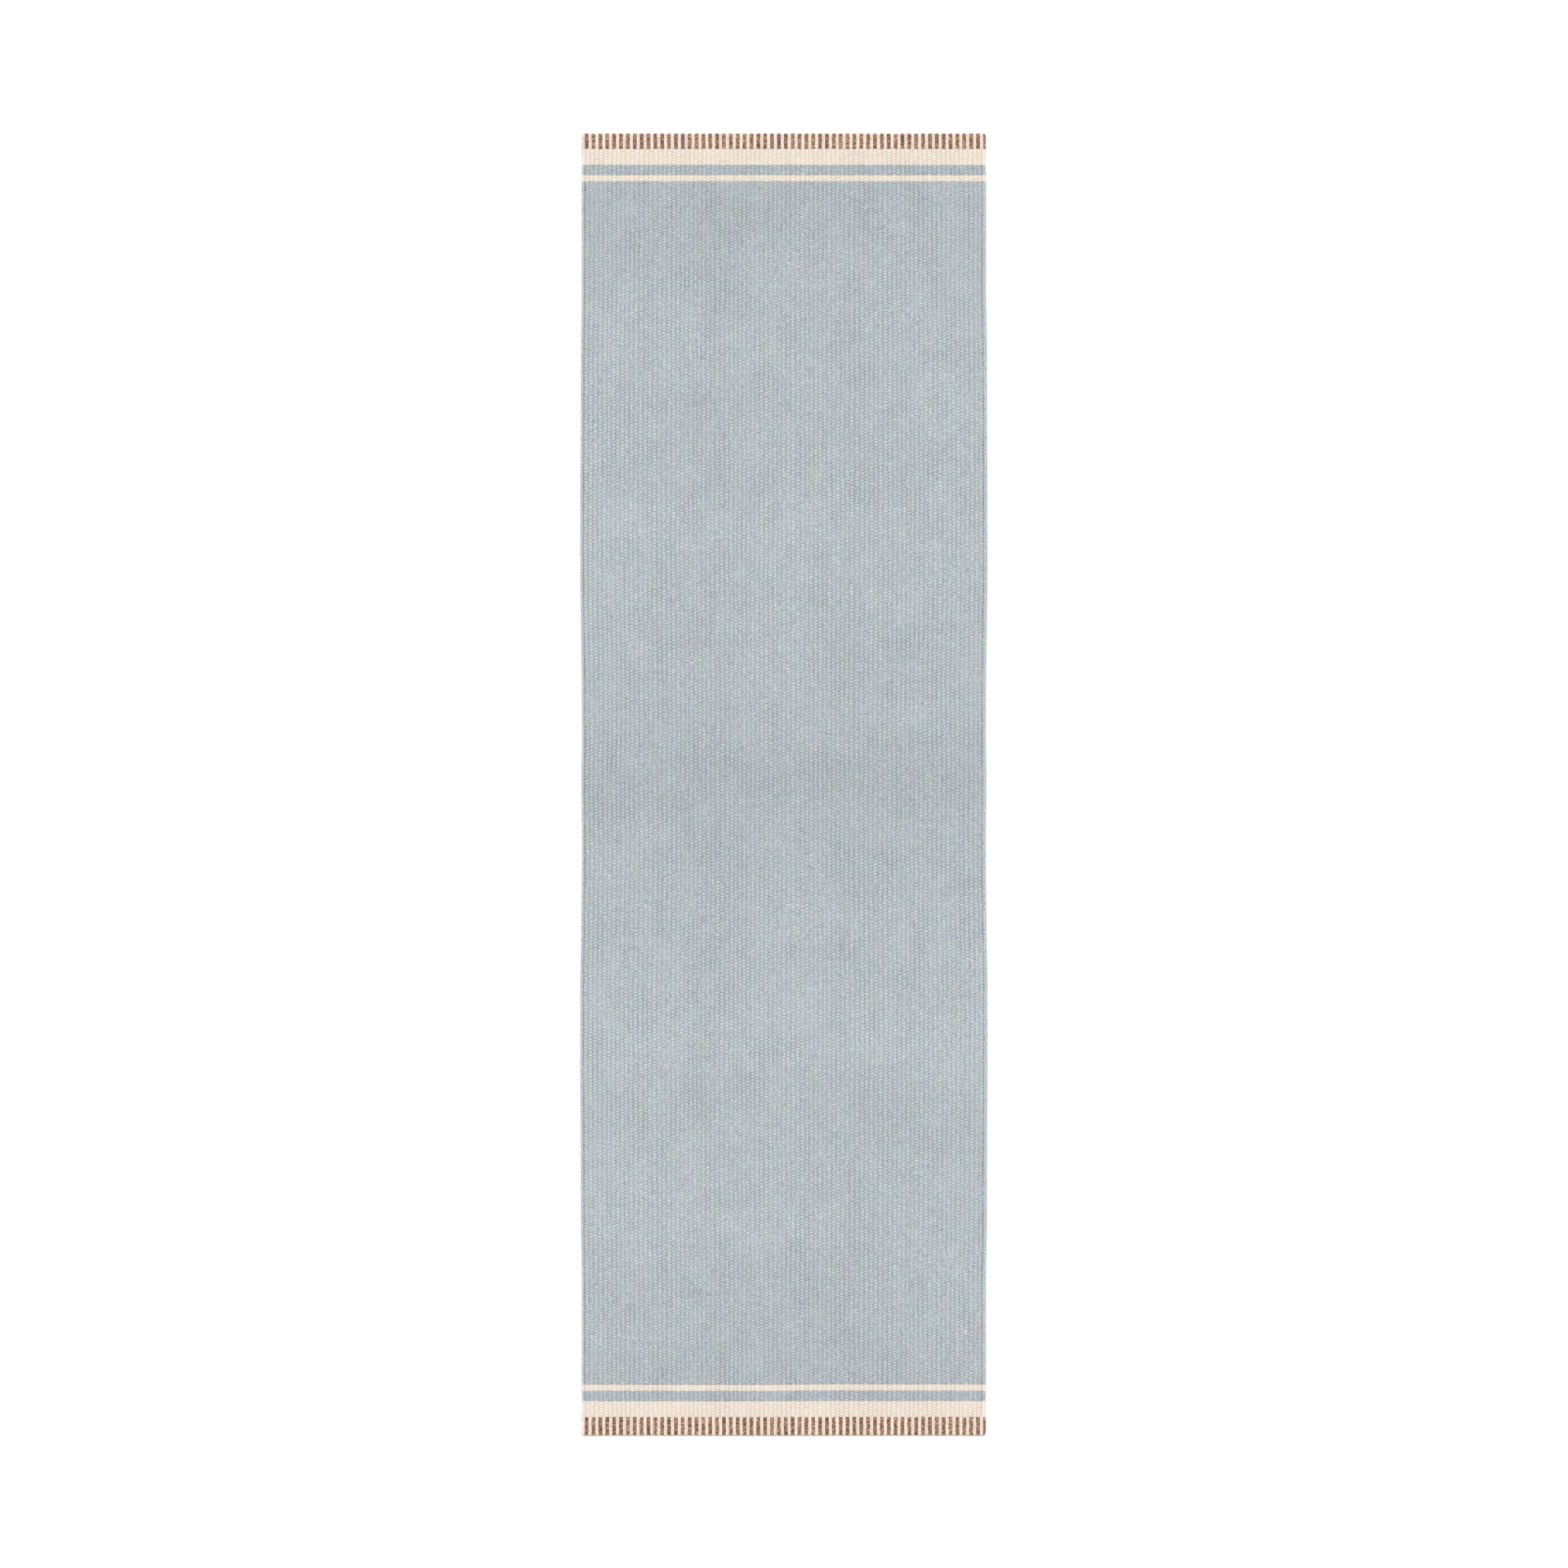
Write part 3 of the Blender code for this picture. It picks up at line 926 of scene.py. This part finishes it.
# CREVICE_SPAN: the crevice values from full painted crevice shade to none
CREVICE_SPAN = (-0.3, 0.75)
DYE_SPAN = (0.98, 1.02)
SPECKLE_STRETCH = 1.25
SPECKLE_ROUGHNESS = 0.6
DARKER_FIBRES = 1.2
LIGHTER_FIBRES = 0.8
GREEN_SHIFT = 7.0
ROUGHNESS_SPAN = (0.8, 0.98)
SHEEN = 0.1
SHEEN_ROUGHNESS = 0.5
SPECULAR_LEVEL = 0.2


def linear(colour):
    """Linear values of a colour given as 0 to 255 display values, with an alpha of 1."""
    channels = [c / 255 for c in colour]
    return [c / 12.92 if c <= 0.04045 else ((c + 0.055) / 1.055) ** 2.4 for c in channels] + [1]


def drifting_dye(nodes, colour, crevice_shade_colour, cast, crevice):
    """The dye's colour, which drifts to and from blue and green, mixed with painted shade in the
    crevices.
    """
    to_blue, to_green = cast
    away = linear([c - d for c, d in zip(colour, (-to_blue, 0, to_blue))])
    toward = linear([c + d for c, d in zip(colour, (-to_blue, 0, to_blue))])
    purple_tint = (1 + to_green, 1 - to_green, 1 + to_green, 1)
    green_tint = (1 - to_green, 1 + to_green, 1 - to_green, 1)
    blue = nodes.remap(nodes.noise(BLUE_SCALE), 0.0, 1.0, *NOISE_SPAN)
    green = nodes.remap(nodes.noise(GREEN_SCALE, shift=GREEN_SHIFT), 0.0, 1.0, *NOISE_SPAN)
    # Painted shade: a low crevice value mixes the dye towards the darker shade colour.
    toned = nodes.mix(crevice, linear(crevice_shade_colour), nodes.mix(blue, away, toward))
    tint = nodes.mix(green, purple_tint, green_tint)
    return nodes.add("ShaderNodeVectorMath", {0: toned, 1: tint}, operation="MULTIPLY").outputs[0]


def hairy_surface(nodes, bump):
    """Fine hairs that lie askew, as relief and as a matt finish with a little sheen."""
    hairs = nodes.noise(HAIR_SCALE, detail=3.0, roughness=0.6, turn=HAIR_ANGLE)
    relief = {"Strength": bump, "Distance": HAIR_RELIEF, "Height": hairs}
    surface = nodes.add("ShaderNodeBump", relief)
    nodes.tree.links.new(surface.outputs["Normal"], nodes.shader.inputs["Normal"])
    roughness = nodes.remap(hairs, *ROUGHNESS_SPAN, *NOISE_SPAN)
    nodes.tree.links.new(roughness, nodes.shader.inputs["Roughness"])
    nodes.shader.inputs["Sheen Weight"].default_value = SHEEN
    nodes.shader.inputs["Sheen Roughness"].default_value = SHEEN_ROUGHNESS
    nodes.shader.inputs["Specular IOR Level"].default_value = SPECULAR_LEVEL


def yarn_material(name, colour, crevice_shade_colour, cast, fuzz, grain, bump, mottle=0.0):
    """Soft matt yarn of one colour, mixed towards a darker colour in its crevices as painted shade.

    cast is how far the dye drifts to and from blue, and to and from green. fuzz is how speckled
    the fibres are, grain how many speckles a metre holds, and bump how rough the yarn is. mottle
    is how far the speckles also pull the colour towards its painted shade colour.
    """
    nodes = Nodes(name)
    fine = SPECKLE_STRETCH * grain
    speckle = nodes.noise((grain, fine, fine), roughness=SPECKLE_ROUGHNESS)
    darkest, lightest = 1 - DARKER_FIBRES * fuzz, 1 + LIGHTER_FIBRES * fuzz
    fibres = nodes.remap(speckle, darkest, lightest, *NOISE_SPAN)
    dye = nodes.remap(nodes.noise(DYE_SCALE), *DYE_SPAN, *NOISE_SPAN)
    value = nodes.math("MULTIPLY", nodes.math("MULTIPLY", dye, nodes.attribute("tone")), fibres)
    # The crevice attribute sets the painted crevice shade; with mottle the speckles add patches of it.
    crevice = nodes.remap(nodes.attribute("crevice"), 0.0, 1.0, *CREVICE_SPAN, smooth=True)
    if mottle:
        patches = nodes.remap(speckle, 1 - mottle, 1.0, *NOISE_SPAN)
        crevice = nodes.math("MULTIPLY", crevice, patches)
    dyed = drifting_dye(nodes, colour, crevice_shade_colour, cast, crevice)
    shaded = nodes.add("ShaderNodeVectorMath", {0: dyed, "Scale": value}, operation="SCALE")
    nodes.tree.links.new(shaded.outputs[0], nodes.shader.inputs["Base Color"])
    hairy_surface(nodes, bump)
    return nodes.material


# In each yarn below, the second, darker colour is painted shade, which its crevices are mixed towards.
def field_yarn():
    return yarn_material(
        "field_yarn", colour=(192, 200, 204), crevice_shade_colour=(108, 116, 120),
        cast=(1.8, 0.012), fuzz=0.48, grain=560.0, bump=2.0,
    )


def accent_yarn():
    return yarn_material(
        "accent_yarn", colour=(190, 198, 203), crevice_shade_colour=(104, 113, 119),
        cast=(1.8, 0.012), fuzz=0.44, grain=520.0, bump=2.0,
    )


def cream_yarn():
    return yarn_material(
        "cream_yarn", colour=(236, 224, 211), crevice_shade_colour=(186, 174, 160),
        cast=(1.5, 0.006), fuzz=0.14, grain=520.0, bump=1.4,
    )


def cream_whipping():
    return yarn_material(
        "cream_whipping", colour=(244, 225, 210), crevice_shade_colour=(188, 170, 153),
        cast=(1.5, 0.006), fuzz=0.25, grain=320.0, bump=1.4,
    )


def brown_yarn():
    return yarn_material(
        "brown_yarn", colour=(193, 159, 134), crevice_shade_colour=(78, 34, 4),
        cast=(1.5, 0.012), fuzz=0.42, grain=260.0, bump=1.0, mottle=0.8,
    )


def make_materials():
    makers = (field_yarn, accent_yarn, cream_yarn, cream_whipping, brown_yarn)
    return {maker.__name__: maker() for maker in makers}


# ---------------------------------------------------------------- the studio


# The camera looks straight down, from where its picture is FRAME_WIDTH wide on the floor
FRAME_WIDTH = 2.9393
CAMERA_SHIFT = (0.0003, 0.0005)
CAMERA_REACH = 100
LENS = 110.0
SENSOR = 36.0
SUN_STRENGTH = 2.4
SUN_SPREAD = math.radians(40)
SUN_TILT = (math.radians(-27), math.radians(-2), 0)
SKY_STRENGTH = 0.55
FLOOR_SIZE = 60
FLOOR_WHITE = 0.95
FLOOR_ROUGHNESS = 0.9
FLOOR_GAP = 0.0003


def make_camera():
    data = bpy.data.cameras.new("camera")
    data.lens = LENS
    data.sensor_width = SENSOR
    data.clip_end = CAMERA_REACH
    camera = bpy.data.objects.new("camera", data)
    camera.location = (*CAMERA_SHIFT, FRAME_WIDTH * LENS / SENSOR)
    bpy.context.scene.collection.objects.link(camera)
    bpy.context.scene.camera = camera


def make_floor():
    nodes = Nodes("floor")
    nodes.shader.inputs["Base Color"].default_value = (*[FLOOR_WHITE] * 3, 1)
    nodes.shader.inputs["Roughness"].default_value = FLOOR_ROUGHNESS
    bpy.ops.mesh.primitive_plane_add(size=FLOOR_SIZE, location=(0, 0, -FLOOR_GAP))
    floor = bpy.context.object
    floor.name = "floor"
    floor.data.materials.append(nodes.material)


def make_lights():
    sun_data = bpy.data.lights.new("key", "SUN")
    sun_data.energy = SUN_STRENGTH
    sun_data.angle = SUN_SPREAD
    sun = bpy.data.objects.new("key", sun_data)
    sun.rotation_euler = SUN_TILT
    bpy.context.scene.collection.objects.link(sun)
    world = bpy.data.worlds.new("studio")
    world.use_nodes = True
    background = world.node_tree.nodes["Background"]
    background.inputs["Color"].default_value = (1, 1, 1, 1)
    background.inputs["Strength"].default_value = SKY_STRENGTH
    bpy.context.scene.world = world
    bpy.context.scene.view_settings.view_transform = "Standard"


rng = np.random.default_rng(SEED)
make_camera()
make_floor()
make_lights()
materials = make_materials()
weave = make_weave(rng, materials)
stitches = make_stitches(rng, materials)
for end in ("head", "foot"):
    make_hem(end, materials)
hidden = [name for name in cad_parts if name.startswith(("warp_loop", "selvedge_cord"))]
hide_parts("field_weft", *hidden)
